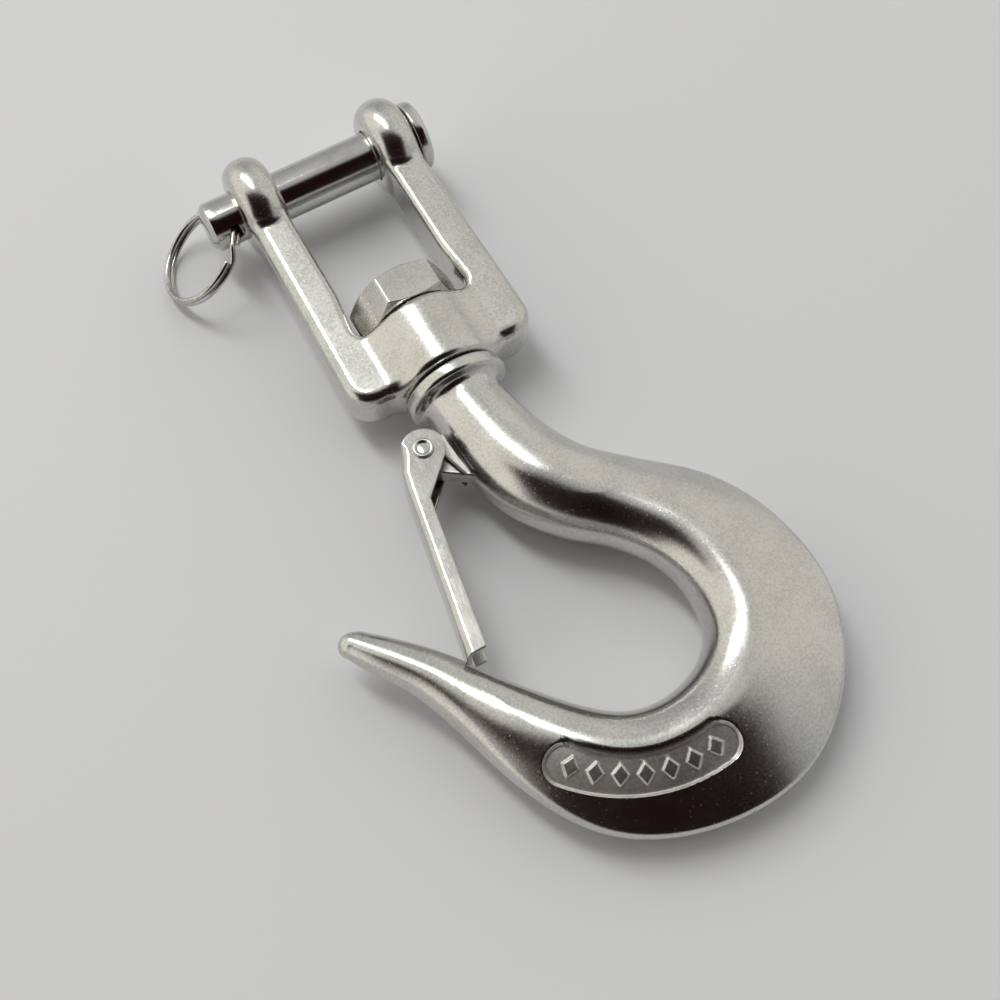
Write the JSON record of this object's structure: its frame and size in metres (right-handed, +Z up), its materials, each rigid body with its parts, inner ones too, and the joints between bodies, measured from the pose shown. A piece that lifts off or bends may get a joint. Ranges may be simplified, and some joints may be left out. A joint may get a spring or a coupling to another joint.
{
  "type": "swivel hook",
  "caption": "Swivel jaw hook: clevis yoke with cross pin and split ring, hexagon swivel nut, curved slip hook with sprung latch, lying flat.",
  "frame": {"origin": "bottom centre of the whole object's box, on the ground that it lies on", "axes": "+Z up from the ground; +Y along the long swivel axis towards the jaw, with the hook towards -Y; +X along the clevis pin towards its head, so the hook's tip and the split ring are on the -X side"},
  "size_m": [0.0656, 0.1274, 0.0176],
  "materials": {
    "clevis_yoke": "satin cast stainless steel, barrel polished",
    "clevis_pin": "turned and polished stainless steel",
    "split_ring": "bright stainless spring wire",
    "swivel_nut": "machined stainless steel with fine scratches",
    "hook_body": "satin cast stainless steel, barrel polished",
    "latch": "bright stamped stainless sheet",
    "latch_rivet": "rolled stainless tube end",
    "latch_spring": "stainless spring wire"
  },
  "bodies": {
    "yoke": {"clevis_yoke": "clevis_yoke"},
    "pin": {"clevis_pin": "clevis_pin"},
    "ring": {"split_ring": "split_ring"},
    "hook": {"hook_body": "hook_body", "swivel_nut": "swivel_nut", "latch_spring": "latch_spring"},
    "latch": {"latch": "latch", "latch_rivet": "latch_rivet"}
  },
  "joints": [
    {"name": "hook_swivel", "type": "hinge", "parent": "yoke", "child": "hook", "pos_m": [0.00127, 0.01816, 0.00843], "axis": [0, 0.9996, 0.0294], "continuous": true},
    {"name": "latch_pivot", "type": "hinge", "parent": "hook", "child": "latch", "pos_m": [-0.00848, 0.00296, 0.00798], "axis": [0, -0.0294, 0.9996], "range_deg": [0, 42], "stiffness_Nm_per_rad": 0.02, "springref_deg": -28.65, "deforming": ["latch_spring"]},
    {"name": "pin_turn", "type": "hinge", "parent": "yoke", "child": "pin", "pos_m": [0.00127, 0.05564, 0.00953], "axis": [1, 0, 0], "continuous": true},
    {"name": "ring_swing", "type": "hinge", "parent": "pin", "child": "ring", "pos_m": [-0.01573, 0.05564, 0.00953], "axis": [0, -0.9547, 0.2976], "range_deg": [-120, 50]}
  ]
}
